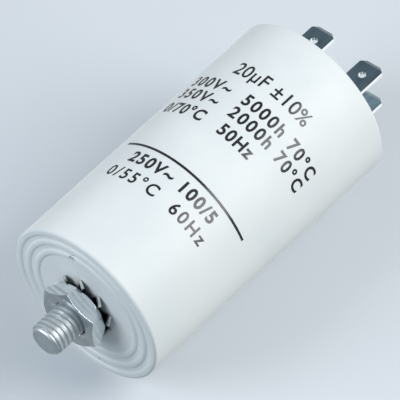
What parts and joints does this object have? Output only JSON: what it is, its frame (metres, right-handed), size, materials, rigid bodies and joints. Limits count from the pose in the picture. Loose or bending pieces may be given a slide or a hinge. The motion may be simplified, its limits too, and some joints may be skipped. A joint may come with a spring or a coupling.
{
  "type": "motor run capacitor",
  "caption": "Round white plastic-cased motor run capacitor with a threaded mounting stud, nut and toothed washer under its base and flat blade terminals on top.",
  "frame": {"origin": "on the can's axis, in the plane of the base rim that seats on a mounting plate", "axes": "+Z along the can's axis from the stud to the terminals; X along the width of the blades; -Y towards the printed side"},
  "size_m": [0.04, 0.04, 0.0975],
  "materials": {
    "white_plastic": "satin",
    "plated_steel": "bright zinc",
    "spring_steel": "zinc",
    "lid_plastic": "matte",
    "tinned_brass": "dull tin",
    "plated_brass": "tin",
    "metallised_film": "metallised",
    "core_plastic": "matte",
    "sprayed_zinc": "sprayed, rough",
    "tinned_copper": "drawn wire",
    "resin": "cast"
  },
  "bodies": {
    "root": {"can": "white_plastic", "mounting_stud": "plated_steel", "lock_washer": "spring_steel", "hex_nut": "plated_steel", "lid": "lid_plastic", "terminal_left": "tinned_brass", "terminal_right": "tinned_brass", "terminal_rivets": "plated_brass", "film_winding": "metallised_film", "core_tube": "core_plastic", "end_spray_top": "sprayed_zinc", "end_spray_bottom": "sprayed_zinc", "lead_short": "tinned_copper", "lead_long": "tinned_copper", "resin_fill": "resin"}
  },
  "joints": []
}
